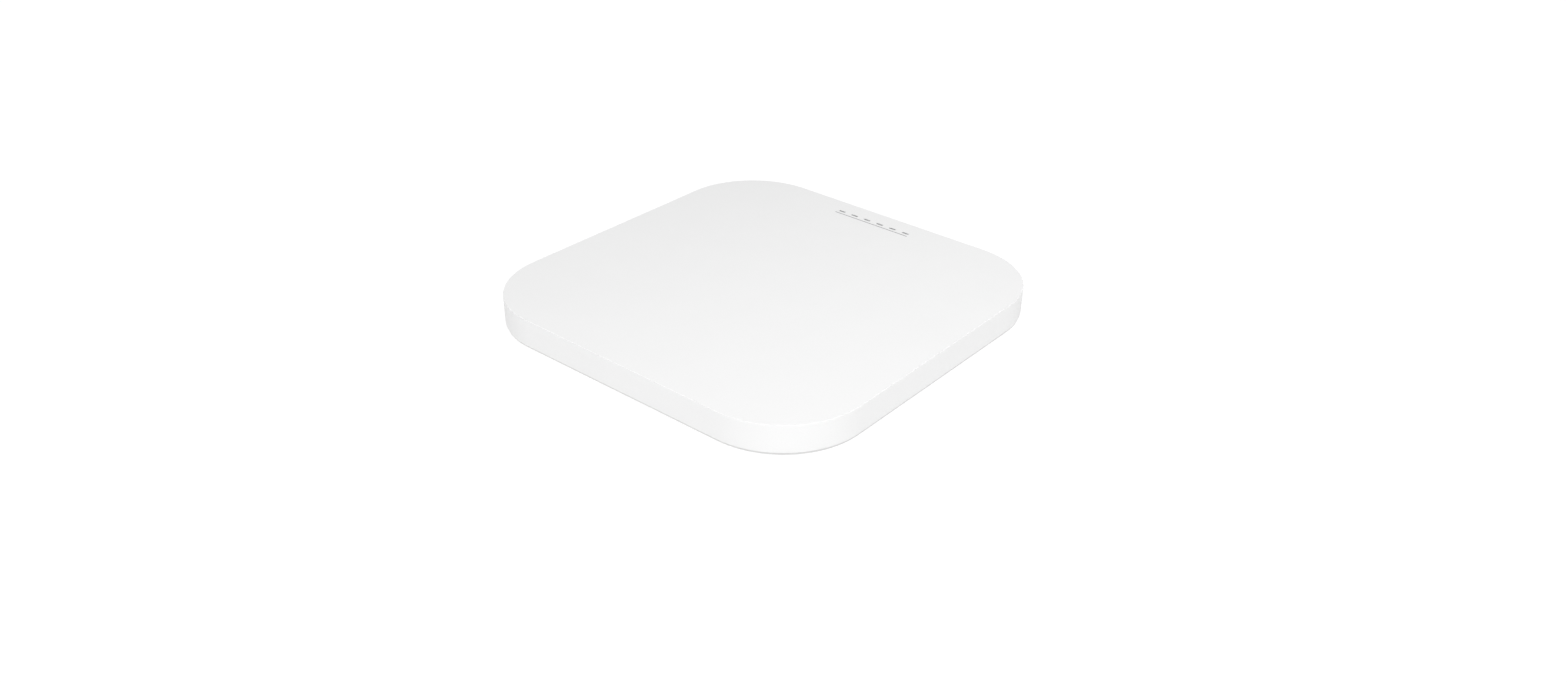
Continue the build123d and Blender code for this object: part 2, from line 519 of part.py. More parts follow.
def thermal_pads():
    """Soft pads between the hot chips and their pedestals."""
    smaller = 1.0
    return together([block(side - smaller, side - smaller, PEDESTAL_Z, PEDESTAL_Z + PAD_T, x, y)
                     for x, y, side in [CPU, *RADIOS]])


def memory_chips():
    return back_chips(MEMORY, MEMORY_T)


def flash_chips():
    return back_chips(FLASH, FLASH_T)


def amplifiers():
    """Front-end modules, two rows of four, inside each of the side shield cans."""
    xs = [side * (AMPLIFIER_FIRST_X + AMPLIFIER_PITCH * i) for side in (-1, 1) for i in range(4)]
    return together([block(AMPLIFIER, AMPLIFIER, BOARD_TOP, BOARD_TOP + AMPLIFIER_T, x, y)
                     for x in xs for y in AMPLIFIER_YS])


def crystals():
    return back_chips(CRYSTALS, SMALL_T)


def small_passives():
    """Rows of capacitors and resistors round the processor and the regulators."""
    return back_chips([(x + PASSIVE_PITCH * i, y, PASSIVE_W, PASSIVE_D)
                       for x, y in PASSIVE_ROWS for i in range(PASSIVE_COUNT)], SMALL_T)


def shield_frames():
    frames = []
    for x, y, w, d in CANS:
        frame = block(w, d, BOARD_TOP, BOARD_TOP + CAN_H - CAN_FRAME_BELOW, x, y)
        inside = block(w - 2 * CAN_T, d - 2 * CAN_T, BOARD_TOP - PAST, BOARD_TOP + CAN_H, x, y)
        frames.append(frame - inside)
    return together(frames)


def shield_lids():
    """Lids that lap over the frames, with rows of vent holes."""
    lids = []
    top = BOARD_TOP + CAN_H
    for x, y, w, d in CANS:
        inner_w, inner_d = w + 2 * CAN_LAP, d + 2 * CAN_LAP
        lid = slab(inner_w + 2 * CAN_T, inner_d + 2 * CAN_T, CAN_R, BOARD_TOP + CAN_LIP_UP, top, x, y)
        lid -= block(inner_w, inner_d, BOARD_TOP, top - CAN_T, x, y)
        for column in range(VENT_COLUMNS):
            for row in range(VENT_ROWS):
                across = (column - (VENT_COLUMNS - 1) / 2) * w / (VENT_COLUMNS + 1)
                along = (row - (VENT_ROWS - 1) / 2) * d / (VENT_ROWS + 1)
                lid -= rod(VENT_R, top - PAST, top + PAST, x + across, y + along)
        lids.append(lid)
    return together(lids)


# ---------------------------------------------------------------- sockets
def socket_bezel():
    """Plastic plate across the back of the cable bay, with an opening for each socket."""
    mid_y, cut = BEZEL_FRONT_Y + BEZEL_T / 2, BEZEL_T + 2 * PAST
    clear_below, clear_above = 0.2, 0.1
    bezel = block(2 * BAY_HALF, BEZEL_T, BACK_Z + clear_below, BAY_TOP_Z - clear_above, y=mid_y)
    for x in JACK_XS:
        bezel -= block(JACK_W + 2 * BEZEL_PLAY, cut, JACK_Z - BEZEL_PLAY, BOARD_Z, x, mid_y)
    bezel -= block(POWER_W + 2 * BEZEL_PLAY, cut, BOARD_Z - POWER_H - BEZEL_PLAY, BOARD_Z, POWER_X, mid_y)
    return bezel - rod_y(RESET_HOLE_R, mid_y - cut / 2, mid_y + cut / 2, RESET_X, RESET_Z)


def jack_shells():
    """Metal shells of the network sockets, open at the front."""
    shells = []
    mid_y = SOCKET_Y + JACK_DEPTH / 2
    for x in JACK_XS:
        shell = block(JACK_W, JACK_DEPTH, JACK_Z, BOARD_Z, x, mid_y)
        shell -= block(JACK_W - 2 * JACK_WALL, JACK_DEPTH, JACK_Z + JACK_WALL, BOARD_Z - JACK_WALL,
                       x, mid_y - JACK_WALL)
        shells.append(shell)
    return together(shells)


def jack_bodies():
    """Plastic bodies with the plug cavity and the slot for the plug's latch."""
    bodies = []
    inset = JACK_WALL + JACK_PLAY
    front, back = SOCKET_Y + JACK_RECESS, SOCKET_Y + JACK_DEPTH - inset
    plug_back, latch_back = SOCKET_Y + PLUG_DEPTH, front + LATCH_DEPTH
    plug_top, join = PLUG_Z + PLUG_H, 0.1
    for x in JACK_XS:
        body = block(JACK_W - 2 * inset, back - front, JACK_Z + inset, BOARD_Z - inset,
                     x, (front + back) / 2)
        body -= block(PLUG_W, plug_back - front + BITE, PLUG_Z, plug_top,
                      x, (plug_back + front - BITE) / 2)
        body -= block(LATCH_W, LATCH_DEPTH + BITE, plug_top - join, plug_top + LATCH_H,
                      x, (latch_back + front - BITE) / 2)
        bodies.append(body)
    return together(bodies)


def jack_contacts():
    """Eight sprung wires in each socket, rising from the floor of the plug cavity to the back."""
    wires = []
    front = SOCKET_Y + CONTACT_SETBACK
    back = front + CONTACT_L
    low = PLUG_Z + 0.01      # just clear of the cavity's floor
    high = low + CONTACT_RISE
    outline = [(front, low), (back, high), (back, high + CONTACT_T), (front, low + CONTACT_T)]
    for x in JACK_XS:
        for i in range(CONTACT_COUNT):
            across = (i - (CONTACT_COUNT - 1) / 2) * CONTACT_PITCH
            wires.append(along_x(outline, CONTACT_T / 2, x + across))
    return together(wires)


def power_jack():
    body = block(POWER_W, POWER_DEPTH, BOARD_Z - POWER_H, BOARD_Z, POWER_X, SOCKET_Y + POWER_DEPTH / 2)
    return body - rod_y(POWER_HOLE_R, SOCKET_Y - PAST, SOCKET_Y + POWER_HOLE_DEEP, POWER_X, RESET_Z)


def power_pin():
    pin = rod_y(POWER_PIN_R, SOCKET_Y + POWER_PIN_SETBACK, SOCKET_Y + POWER_HOLE_DEEP, POWER_X, RESET_Z)
    return fillet(pin.edges().filter_by(GeomType.CIRCLE).sort_by(Axis.Y)[0], PIN_TIP_R)


def reset_switch():
    gap = 0.1                # between the bay's wall and the switch
    mid_y = BAY_BACK_Y + BAY_WALL + gap + SWITCH_DEPTH / 2
    body = block(SWITCH_W, SWITCH_DEPTH, RESET_Z - SWITCH_BELOW, BOARD_Z, RESET_X, mid_y)
    return body - rod_y(RESET_R + RESET_PLAY, BAY_BACK_Y, BAY_BACK_Y + SWITCH_BORE, RESET_X, RESET_Z)


def reset_button():
    front = BAY_BACK_Y + BUTTON_SETBACK
    button = rod_y(RESET_R, front, front + BUTTON_L, RESET_X, RESET_Z)
    return fillet(button.edges().filter_by(GeomType.CIRCLE).sort_by(Axis.Y)[0], RESET_TIP_R)


def status_leds():
    return together([block(LED_L, LED_W, BOARD_TOP, BOARD_TOP + LED_H, x, STRIP_Y) for x in window_xs()])


# ---------------------------------------------------------------- power section
def network_transformers():
    return back_chips([(x, NETWORK_Y, NETWORK_W, NETWORK_D) for x in JACK_XS], NETWORK_H)


def power_transformer():
    """Ferrite core: a block with a window through it along Y."""
    low, high = BOARD_Z - CORE_LOW, BOARD_Z - CORE_HIGH
    core = block(CORE_W, CORE_D, low, high, *POWER_AT)
    return core - block(CORE_W - 2 * CORE_LEG, CORE_D + PAST, low + CORE_YOKE, high - CORE_YOKE, *POWER_AT)


def power_winding():
    """Taped winding that fills the core's window and shows at both ends."""
    outline = RectangleRounded(WINDING_W, WINDING_H, WINDING_R)
    middle = BOARD_Z - (CORE_LOW + CORE_HIGH) / 2
    return Pos(*POWER_AT, middle) * Rot(90, 0, 0) * extrude(outline, WINDING_HALF, both=True)


def power_bobbin():
    return block(BOBBIN_SIDE, BOBBIN_SIDE, BOARD_Z - BOBBIN_T, BOARD_Z, *POWER_AT)


def inductors():
    return together([slab(INDUCTOR_SIDE, INDUCTOR_SIDE, INDUCTOR_R, BOARD_Z - INDUCTOR_H, BOARD_Z, x, y)
                     for x, y in INDUCTORS])


def capacitors():
    """Electrolytic cans on the back side, each on its moulded seat."""
    cans = []
    sunk = 0.1               # the can starts this far inside its seat
    for x, y in CAPACITORS:
        can = rod(CAPACITOR_R, BOARD_Z - CAPACITOR_H, BOARD_Z - SEAT_T + sunk, x, y)
        can = fillet(can.edges().sort_by(Axis.Z)[0], CAPACITOR_EDGE_R)
        cans.append(can + slab(SEAT_SIDE, SEAT_SIDE, SEAT_R, BOARD_Z - SEAT_T, BOARD_Z, x, y))
    return together(cans)


# ---------------------------------------------------------------- antennas
def folded_antenna(width, height, x, y, turn):
    """An inverted-F antenna cut and folded from tinplate: radiating arm, feed leg and ground leg."""
    ground_x = (LEG_W - width) / 2
    leg_top = height - ANTENNA_WALL_H + BITE
    arm = block(width, ARM_D, height - SHEET, height, y=(ARM_D - SHEET) / 2)
    wall = block(width, SHEET, height - ANTENNA_WALL_H, height)
    feed = block(LEG_W, SHEET, 0, leg_top, x=ground_x + LEG_GAP)
    ground = block(LEG_W, SHEET, 0, leg_top, x=ground_x)
    foot = block(LEG_W, FOOT_D, 0, SHEET, x=ground_x, y=FOOT_D / 2)
    return Pos(x, y, BOARD_TOP) * Rot(0, 0, turn) * (arm + wall + feed + ground + foot)


def antenna_ring(width, height, angles):
    return together([folded_antenna(width, height, *polar(ANTENNA_PCR, a), a - 90) for a in angles])


def antennas_low_band():
    return antenna_ring(LOW_BAND_W, LOW_BAND_H, LOW_BAND_ANGLES)


def antennas_high_band():
    return antenna_ring(HIGH_BAND_W, HIGH_BAND_H, HIGH_BAND_ANGLES)


def scan_antenna():
    return folded_antenna(SCAN_W, SCAN_H, 0.0, SCAN_Y, 180)


def scan_cable():
    """Thin coax from the scanning radio's plug to its antenna at the cable-bay edge."""
    path = FilletPolyline(*[(x, y, BOARD_TOP + COAX_UP) for x, y in COAX_XYS], radius=COAX_BEND)
    start = Plane(origin=path @ 0, z_dir=path % 0)
    return sweep(start * Circle(COAX_R), path=path)


def coax_plugs():
    """A ring and a hood at each end of the coax."""
    parts = []
    ring_top = BOARD_TOP + COAX_RING_H
    for (x, y), way in ((COAX_XYS[0], -1), (COAX_XYS[-1], 1)):
        parts.append(rod(COAX_PLUG_R, BOARD_TOP, ring_top, x, y + way * COAX_RING_ON))
        parts.append(slab(COAX_HOOD_W, COAX_HOOD_D, COAX_HOOD_R, ring_top, BOARD_TOP + COAX_PLUG_TOP,
                          x, y + way * COAX_HOOD_ON))
    return together(parts)


def ground_foams():
    """Conductive foam blocks between the board and the housing's flange."""
    spots = [(x, y, FOAM_T, FOAM_L) for x, y in both_ways(FOAM_FAR, FOAM_ALONG_Y)]
    spots += [(x, y, FOAM_L, FOAM_T) for x, y in both_ways(FOAM_ALONG_X, FOAM_FAR)]
    return together([block(w, d, FLANGE_TOP, BOARD_Z, x, y) for x, y, w, d in spots])


NODES = [
    front_cover, accent_line, light_pipe, light_blocker, rear_housing, socket_bezel, lock_slot_insert,
    cover_screws, board_screws, ground_screw, mounting_studs, rear_label,
    mounting_plate, detent_spring, spring_rivets,
    main_board, processor, radio_chips, thermal_pads, memory_chips, flash_chips, amplifiers, crystals,
    small_passives, shield_frames, shield_lids,
    jack_shells, jack_bodies, jack_contacts, power_jack, power_pin, reset_switch, reset_button, status_leds,
    network_transformers, power_transformer, power_winding, power_bobbin, inductors, capacitors,
    antennas_low_band, antennas_high_band, scan_antenna, scan_cable, coax_plugs, ground_foams,
]

os.makedirs("parts", exist_ok=True)
for make in NODES:
    export_step(make(), f"parts/{make.__name__}.step")
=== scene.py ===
"""Looks, floor, light and camera for the ceiling access point. Metres, in the CAD's row frame."""
import json
from math import cos, radians, sin

import bmesh
import bpy
from mathutils import Matrix, Vector


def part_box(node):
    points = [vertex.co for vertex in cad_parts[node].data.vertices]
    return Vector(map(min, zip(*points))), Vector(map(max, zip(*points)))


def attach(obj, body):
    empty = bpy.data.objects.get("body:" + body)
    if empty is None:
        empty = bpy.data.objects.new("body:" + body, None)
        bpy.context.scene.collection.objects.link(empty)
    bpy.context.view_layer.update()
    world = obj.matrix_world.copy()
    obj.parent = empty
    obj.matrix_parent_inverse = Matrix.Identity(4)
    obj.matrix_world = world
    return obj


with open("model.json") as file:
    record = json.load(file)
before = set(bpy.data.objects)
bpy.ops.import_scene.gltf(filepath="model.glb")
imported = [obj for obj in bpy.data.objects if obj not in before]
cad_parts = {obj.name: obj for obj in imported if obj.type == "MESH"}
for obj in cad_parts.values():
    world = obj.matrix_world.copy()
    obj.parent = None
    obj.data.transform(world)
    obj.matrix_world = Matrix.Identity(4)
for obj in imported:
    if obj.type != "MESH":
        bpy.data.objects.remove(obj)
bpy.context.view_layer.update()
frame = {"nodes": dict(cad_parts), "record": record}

MM = 0.001


# ---------------------------------------------------------------- shader helpers
class Look:
    """One procedural material under construction. Its textures run in metres, in the row frame."""

    def __init__(self, name, colour, roughness, metallic=0.0):
        self.name = name
        self.material = bpy.data.materials.new(name)
        self.material.use_nodes = True
        self.nodes = self.material.node_tree.nodes
        self.links = self.material.node_tree.links
        self.shader = self.nodes["Principled BSDF"]
        self.colour = colour
        self.shader.inputs["Base Color"].default_value = (*colour, 1.0)
        self.shader.inputs["Roughness"].default_value = roughness
        self.shader.inputs["Metallic"].default_value = metallic
        self.place = self.nodes.new("ShaderNodeTexCoord").outputs["Object"]
        self.normal = None

    def stretched(self, x=1.0, y=1.0, z=1.0):
        """Texture places scaled by these factors, for grain that runs one way."""
        node = self.nodes.new("ShaderNodeMapping")
        node.inputs["Scale"].default_value = (x, y, z)
        self.links.new(self.place, node.inputs["Vector"])
        return node.outputs["Vector"]

    def noise(self, grain_mm, detail=3.0, rough=0.55, place=None):
        node = self.nodes.new("ShaderNodeTexNoise")
        node.inputs["Scale"].default_value = 1 / (grain_mm * MM)
        node.inputs["Detail"].default_value = detail
        node.inputs["Roughness"].default_value = rough
        self.links.new(place or self.place, node.inputs["Vector"])
        return node.outputs["Fac"]

    def cells(self, grain_mm):
        """Distance from the middle of the nearest cell."""
        node = self.nodes.new("ShaderNodeTexVoronoi")
        node.inputs["Scale"].default_value = 1 / (grain_mm * MM)
        self.links.new(self.place, node.inputs["Vector"])
        return node.outputs["Distance"]

    def facets(self, grain_mm):
        """One random level per crystal-like cell, with ragged, crisp borders."""
        raggedness, finer = 0.5, 3
        wander = self.nodes.new("ShaderNodeTexNoise")
        wander.inputs["Scale"].default_value = finer / (grain_mm * MM)
        self.links.new(self.place, wander.inputs["Vector"])
        ragged = self.nodes.new("ShaderNodeVectorMath")
        ragged.operation = "MULTIPLY_ADD"
        self.links.new(wander.outputs["Color"], ragged.inputs[0])
        ragged.inputs[1].default_value = (grain_mm * MM * raggedness,) * 3
        self.links.new(self.place, ragged.inputs[2])
        node = self.nodes.new("ShaderNodeTexVoronoi")
        node.inputs["Scale"].default_value = 1 / (grain_mm * MM)
        self.links.new(ragged.outputs["Vector"], node.inputs["Vector"])
        level = self.nodes.new("ShaderNodeSeparateColor")
        self.links.new(node.outputs["Color"], level.inputs["Color"])
        return level.outputs["Red"]

    def spread(self, value, low, high, from_low=0.3, from_high=0.7):
        """Maps from_low..from_high to low..high. A noise mostly stays within the default range."""
        node = self.nodes.new("ShaderNodeMapRange")
        node.inputs["From Min"].default_value = from_low
        node.inputs["From Max"].default_value = from_high
        node.inputs["To Min"].default_value = low
        node.inputs["To Max"].default_value = high
        self.links.new(value, node.inputs["Value"])
        return node.outputs["Result"]

    def maths(self, operation, a, b):
        node = self.nodes.new("ShaderNodeMath")
        node.operation = operation
        for socket, value in zip(node.inputs, (a, b)):
            if isinstance(value, (int, float)):
                socket.default_value = value
            else:
                self.links.new(value, socket)
        return node.outputs["Value"]

    def mixed(self, a, share_a, b, share_b):
        """A weighted sum of two values."""
        return self.maths("ADD", self.maths("MULTIPLY", a, share_a), self.maths("MULTIPLY", b, share_b))

    def scaled_sum(self, a, b, factor):
        return self.maths("MULTIPLY", self.maths("ADD", a, b), factor)

    def edge_wear_and_highlight(self):
        """1 on convex edges and 0 on flats, from the mesh's own pointiness. It masks worn edges and
        painted edge highlights.
        """
        geometry = self.nodes.new("ShaderNodeNewGeometry")
        return self.spread(geometry.outputs["Pointiness"], 0.0, 1.0, from_low=0.52, from_high=0.62)

    def tint(self, value, other):
        """Mixes the base colour towards another by a 0 to 1 value. Calls stack."""
        node = self.nodes.new("ShaderNodeMix")
        node.data_type = "RGBA"
        base = self.shader.inputs["Base Color"]
        first = [s for s in node.inputs if s.name == "A" and s.type == "RGBA"][0]
        second = [s for s in node.inputs if s.name == "B" and s.type == "RGBA"][0]
        if base.is_linked:
            self.links.new(base.links[0].from_socket, first)
        else:
            first.default_value = (*self.colour, 1.0)
        second.default_value = (*other, 1.0)
        self.links.new(value, node.inputs["Factor"])
        self.links.new([s for s in node.outputs if s.type == "RGBA"][0], base)

    def rough(self, value, low, high):
        self.links.new(self.spread(value, low, high), self.shader.inputs["Roughness"])

    def bump(self, value, depth_mm):
        """Adds relief. Calls stack."""
        node = self.nodes.new("ShaderNodeBump")
        node.inputs["Strength"].default_value = 1.0
        node.inputs["Distance"].default_value = depth_mm * MM
        self.links.new(value, node.inputs["Height"])
        if self.normal:
            self.links.new(self.normal, node.inputs["Normal"])
        self.normal = node.outputs["Normal"]
        self.links.new(self.normal, self.shader.inputs["Normal"])


def shade(colour, factor):
    """A darker or lighter version of a colour."""
    return tuple(min(1.0, channel * factor) for channel in colour)


# ---------------------------------------------------------------- materials
def moulded(name, colour, roughness, texture_mm, relief_mm, flow_marks=0.6):
    """Spark-eroded moulding texture with faint flow marks, handling smudges and painted shade in its
    pits.
    """
    pit_mm, pit_relief_mm = texture_mm * 1.6, relief_mm * 0.7
    look = Look(name, colour, roughness)
    texture = look.noise(texture_mm, detail=4.0)
    flow = look.noise(26.0, detail=2.0)
    look.tint(look.spread(flow, 0.0, flow_marks), shade(colour, 0.97))
    # painted shade: each pit of the texture is darker in its middle, where its relief is lowest
    pit_shade = look.spread(look.cells(pit_mm), 0.25, 0.0, from_low=0.0, from_high=0.5)
    look.tint(pit_shade, shade(colour, 0.93))
    smudge = look.noise(11.0, detail=4.0, rough=0.65)
    look.rough(look.mixed(smudge, 0.6, texture, 0.4), roughness - 0.06, roughness + 0.07)
    look.bump(texture, relief_mm)
    look.bump(look.cells(pit_mm), pit_relief_mm)
    return look


def cover_white():
    look = moulded("cover_white", (0.905, 0.905, 0.905), 0.56, 0.5, 0.016, flow_marks=0.25)
    look.shader.inputs["Specular IOR Level"].default_value = 0.3
    return look


def powder_coat():
    """Light grey powder coat: orange-peel relief, fine speckle and metal at the sharpest edges."""
    look = Look("housing_coat", (0.78, 0.78, 0.77), 0.5)
    peel = look.noise(0.9, detail=2.0)
    speckle = look.cells(0.45)
    look.tint(look.spread(speckle, 0.35, 0.0, from_low=0.05, from_high=0.4), (0.66, 0.66, 0.655))
    look.tint(look.spread(look.noise(35.0), 0.0, 0.35), (0.73, 0.735, 0.73))
    look.rough(look.noise(6.0, detail=4.0), 0.42, 0.6)
    look.bump(peel, 0.035)
    look.bump(speckle, 0.012)
    patchy = look.spread(look.noise(2.0), 0.0, 0.8)
    look.tint(look.maths("MULTIPLY", look.edge_wear_and_highlight(), patchy), (0.60, 0.61, 0.62))
    return look


def galvanised():
    """Zinc-coated plate with faint spangle, rolling lines and grey stains."""
    look = Look("plate_steel", (0.62, 0.63, 0.64), 0.36, metallic=0.9)
    spangle = look.facets(3.2)
    look.tint(look.spread(spangle, 0.0, 0.55, from_low=0.1, from_high=0.9), (0.50, 0.515, 0.53))
    rolled = look.noise(0.5, place=look.stretched(y=0.04))
    look.tint(look.spread(rolled, 0.0, 0.3), (0.70, 0.70, 0.70))
    look.rough(look.scaled_sum(spangle, rolled, 0.55), 0.28, 0.5)
    look.bump(rolled, 0.006)
    look.bump(spangle, 0.012)
    stains = look.spread(look.noise(8.0, detail=5.0), 0.0, 0.35, from_low=0.55, from_high=0.75)
    look.tint(stains, (0.42, 0.42, 0.41))
    return look


def turned_metal(name, colour, roughness, grain_mm):
    """Machined or plated metal with fine marks, slight tarnish and a painted highlight along its edges.
    """
    look = Look(name, colour, roughness, metallic=1.0)
    marks = look.noise(grain_mm, place=look.stretched(z=6.0))
    tarnish = look.noise(3.0, detail=4.0)
    look.tint(look.spread(tarnish, 0.0, 0.5), shade(colour, 0.78))
    # painted highlight: convex edges get a lighter copy of the metal's own colour
    look.tint(look.maths("MULTIPLY", look.edge_wear_and_highlight(), 0.6), shade(colour, 1.2))
    look.rough(look.scaled_sum(marks, tarnish, 0.5), roughness - 0.08, roughness + 0.14)
    look.bump(marks, 0.008)
    return look


def tinplate():
    """Bright tinned sheet with brushing and faint finger marks."""
    look = Look("can_tin", (0.74, 0.74, 0.73), 0.22, metallic=1.0)
    brushed = look.noise(0.25, place=look.stretched(y=0.03))
    prints = look.noise(7.0, detail=5.0)
    look.rough(look.scaled_sum(brushed, prints, 0.5), 0.15, 0.38)
    look.tint(look.spread(prints, 0.0, 0.4), (0.62, 0.62, 0.62))
    look.bump(brushed, 0.005)
    return look


def board():
    """Solder mask over copper: pours and tracks show as relief and a lighter green, with plated vias."""
    track_pitch_mm, track_gap = 6.0, 0.05
    copper_relief_mm, via_relief_mm = 0.03, 0.04
    look = Look("board_green", (0.012, 0.13, 0.07), 0.32)
    brick = look.nodes.new("ShaderNodeTexBrick")
    brick.inputs["Scale"].default_value = 1 / (track_pitch_mm * MM)
    brick.inputs["Mortar Size"].default_value = track_gap
    look.links.new(look.place, brick.inputs["Vector"])
    copper = look.spread(look.noise(14.0, detail=1.0), 0.0, 1.0, from_low=0.44, from_high=0.46)
    routed = look.spread(look.noise(22.0), 0.0, 1.0, from_low=0.45, from_high=0.5)
    tracks = look.maths("MULTIPLY", brick.outputs["Fac"], routed)
    look.tint(look.maths("MULTIPLY", copper, 0.8), (0.02, 0.20, 0.10))
    look.tint(tracks, (0.03, 0.27, 0.13))
    vias = look.spread(look.cells(3.0), 1.0, 0.0, from_low=0.07, from_high=0.09)
    look.tint(look.maths("MULTIPLY", vias, 0.9), (0.62, 0.55, 0.34))
    look.rough(look.noise(1.5), 0.24, 0.42)
    look.bump(copper, copper_relief_mm)
    look.bump(tracks, copper_relief_mm)
    look.bump(vias, via_relief_mm)
    return look


def chip():
    """Moulded epoxy with a fine matt grain."""
    look = Look("chip_black", (0.022, 0.022, 0.024), 0.55)
    look.tint(look.spread(look.noise(0.3, detail=4.0), 0.0, 0.6), (0.040, 0.040, 0.043))
    look.rough(look.noise(0.8, detail=4.0), 0.45, 0.66)
    look.bump(look.noise(0.18, detail=4.0), 0.02)
    return look


def foam(name, colour, pore_mm):
    look = Look(name, colour, 0.9)
    pores = look.cells(pore_mm)
    # painted shade: the middles of the pores, their hollows, are darkened towards a shaded copy of the
    # foam's colour
    look.tint(look.spread(pores, 0.7, 0.0, from_low=0.1, from_high=0.5), shade(colour, 0.45))
    look.bump(pores, pore_mm * 0.25)
    look.rough(look.noise(1.0), 0.85, 0.98)
    return look


def ceramic(name, colour, fleck):
    look = Look(name, colour, 0.5)
    look.tint(look.spread(look.noise(0.4, detail=4.0), 0.0, 0.8), fleck)
    look.rough(look.noise(1.2), 0.38, 0.62)
    look.bump(look.noise(0.15, detail=4.0), 0.015)
    return look


def window():
    """Light guide: clear polycarbonate, with a frosted, smoked look where it fills the windows."""
    look = Look("window_clear", (0.47, 0.475, 0.48), 0.28)
    look.shader.inputs["Transmission Weight"].default_value = 0.25
    look.shader.inputs["IOR"].default_value = 1.58
    look.tint(look.spread(look.noise(0.8), 0.0, 0.5), (0.38, 0.39, 0.40))
    look.rough(look.noise(0.2), 0.2, 0.4)
    look.bump(look.noise(0.12), 0.008)
    return look


def tape():
    """Polyester tape over a winding: lapped edges across its length."""
    look = Look("winding_tape", (0.66, 0.46, 0.04), 0.3)
    laps = look.noise(1.2, detail=2.0, place=look.stretched(x=0.05, z=0.05))
    look.tint(look.spread(laps, 0.0, 0.6), (0.52, 0.33, 0.02))
    look.rough(look.noise(2.0), 0.22, 0.4)
    look.bump(laps, 0.08)
    return look


# slot: colour, roughness, size of the fine marks in mm
METALS = {
    "steel_liner": ((0.50, 0.50, 0.51), 0.34, 0.15),
    "screw_steel": ((0.60, 0.59, 0.56), 0.32, 0.15),
    "ground_brass": ((0.74, 0.62, 0.36), 0.30, 0.15),
    "stud_steel": ((0.66, 0.66, 0.66), 0.24, 0.15),
    "spring_steel": ((0.42, 0.42, 0.44), 0.30, 0.15),
    "jack_shell_metal": ((0.70, 0.69, 0.67), 0.26, 0.30),
    "contact_gold": ((0.88, 0.66, 0.28), 0.22, 0.15),
    "crystal_can": ((0.76, 0.75, 0.71), 0.25, 0.15),
    "capacitor_can": ((0.72, 0.72, 0.74), 0.28, 0.15),
}
# slot: colour, roughness, size of the texture in mm, its depth in mm
PLASTICS = {
    # line_grey is painted shade: a grey strip laid in the cover's groove so that the groove shows as a
    # dark line
    "line_grey": ((0.42, 0.42, 0.43), 0.42, 0.25, 0.006),
    "bezel_grey": ((0.20, 0.20, 0.205), 0.42, 0.30, 0.014),
    "label_silver": ((0.76, 0.76, 0.75), 0.38, 0.60, 0.004),
    "jack_black": ((0.026, 0.026, 0.028), 0.36, 0.25, 0.012),
    "button_red": ((0.50, 0.06, 0.05), 0.34, 0.25, 0.008),
    "led_white": ((0.82, 0.82, 0.70), 0.30, 0.20, 0.006),
    "bobbin": ((0.055, 0.050, 0.048), 0.40, 0.30, 0.014),
    "coax_jacket": ((0.040, 0.040, 0.042), 0.40, 0.20, 0.008),
}
# slot: colour, size of the pores in mm
FOAMS = {
    "foam_black": ((0.030, 0.030, 0.032), 0.5),
    "pad_grey": ((0.40, 0.46, 0.56), 0.9),
}
# slot: colour, colour of the flecks
CERAMICS = {
    "passive_tan": ((0.36, 0.25, 0.16), (0.28, 0.18, 0.11)),
    "ferrite": ((0.075, 0.075, 0.080), (0.11, 0.11, 0.115)),
}


def make_materials():
    """One material for each of the record's slots. Blender may number their own names."""
    looks = [cover_white(), powder_coat(), galvanised(), window(), board(), chip(), tinplate(), tape()]
    for make, table in ((turned_metal, METALS), (moulded, PLASTICS), (foam, FOAMS), (ceramic, CERAMICS)):
        looks += [make(slot, *settings) for slot, settings in table.items()]
    return {look.name: look.material for look in looks}


def dress_nodes(made):
    """Every CAD node gets the look of its record slot."""
    for part in frame["record"]["subparts"]:
        node = frame["nodes"][part["node"]]
        for material_slot in node.material_slots:
            material_slot.material = made[part["material_slot"]]


# ---------------------------------------------------------------- small raised and printed details
class Relief:
    """Low prisms gathered into one mesh. Plan sizes are millimetres, in the row frame."""

    def __init__(self, low, high):
        self.mesh = bmesh.new()
        self.low, self.high = low * MM, high * MM

    def ring(self, outline, height):
        return [self.mesh.verts.new((x * MM, y * MM, height)) for x, y in outline]

    def strip(self, first, second):
        """Faces between two rings of the same number of points."""
        for i in range(len(first)):
            j = (i + 1) % len(first)
            self.mesh.faces.new((first[i], first[j], second[j], second[i]))

    def prism(self, outline):
        """A prism over a plan outline, given as points in order, anticlockwise."""
        bottom, top = self.ring(outline, self.low), self.ring(outline, self.high)
        self.mesh.faces.new(reversed(bottom))
        self.mesh.faces.new(top)
        self.strip(bottom, top)

    def band(self, outer, inner):
        """A closed band between two outlines with the same number of points."""
        outer_low, outer_high = self.ring(outer, self.low), self.ring(outer, self.high)
        inner_low, inner_high = self.ring(inner, self.low), self.ring(inner, self.high)
        self.strip(outer_low, outer_high)
        self.strip(outer_high, inner_high)
        self.strip(inner_high, inner_low)
        self.strip(inner_low, outer_low)

    def bar(self, x, y, width, depth):
        self.prism(rectangle(x, y, width, depth))

    def frame(self, x, y, width, depth, line):
        self.band(rectangle(x, y, width, depth), rectangle(x, y, width - 2 * line, depth - 2 * line))

    def finish(self, name, body, material):
        mesh = bpy.data.meshes.new(name)
        self.mesh.to_mesh(mesh)
        self.mesh.free()
        piece = bpy.data.objects.new(name, mesh)
        bpy.context.scene.collection.objects.link(piece)
        mesh.materials.append(material)
        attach(piece, body)


def rectangle(x, y, width, depth):
    return [(x + sx * width / 2, y + sy * depth / 2) for sx, sy in ((-1, -1), (1, -1), (1, 1), (-1, 1))]


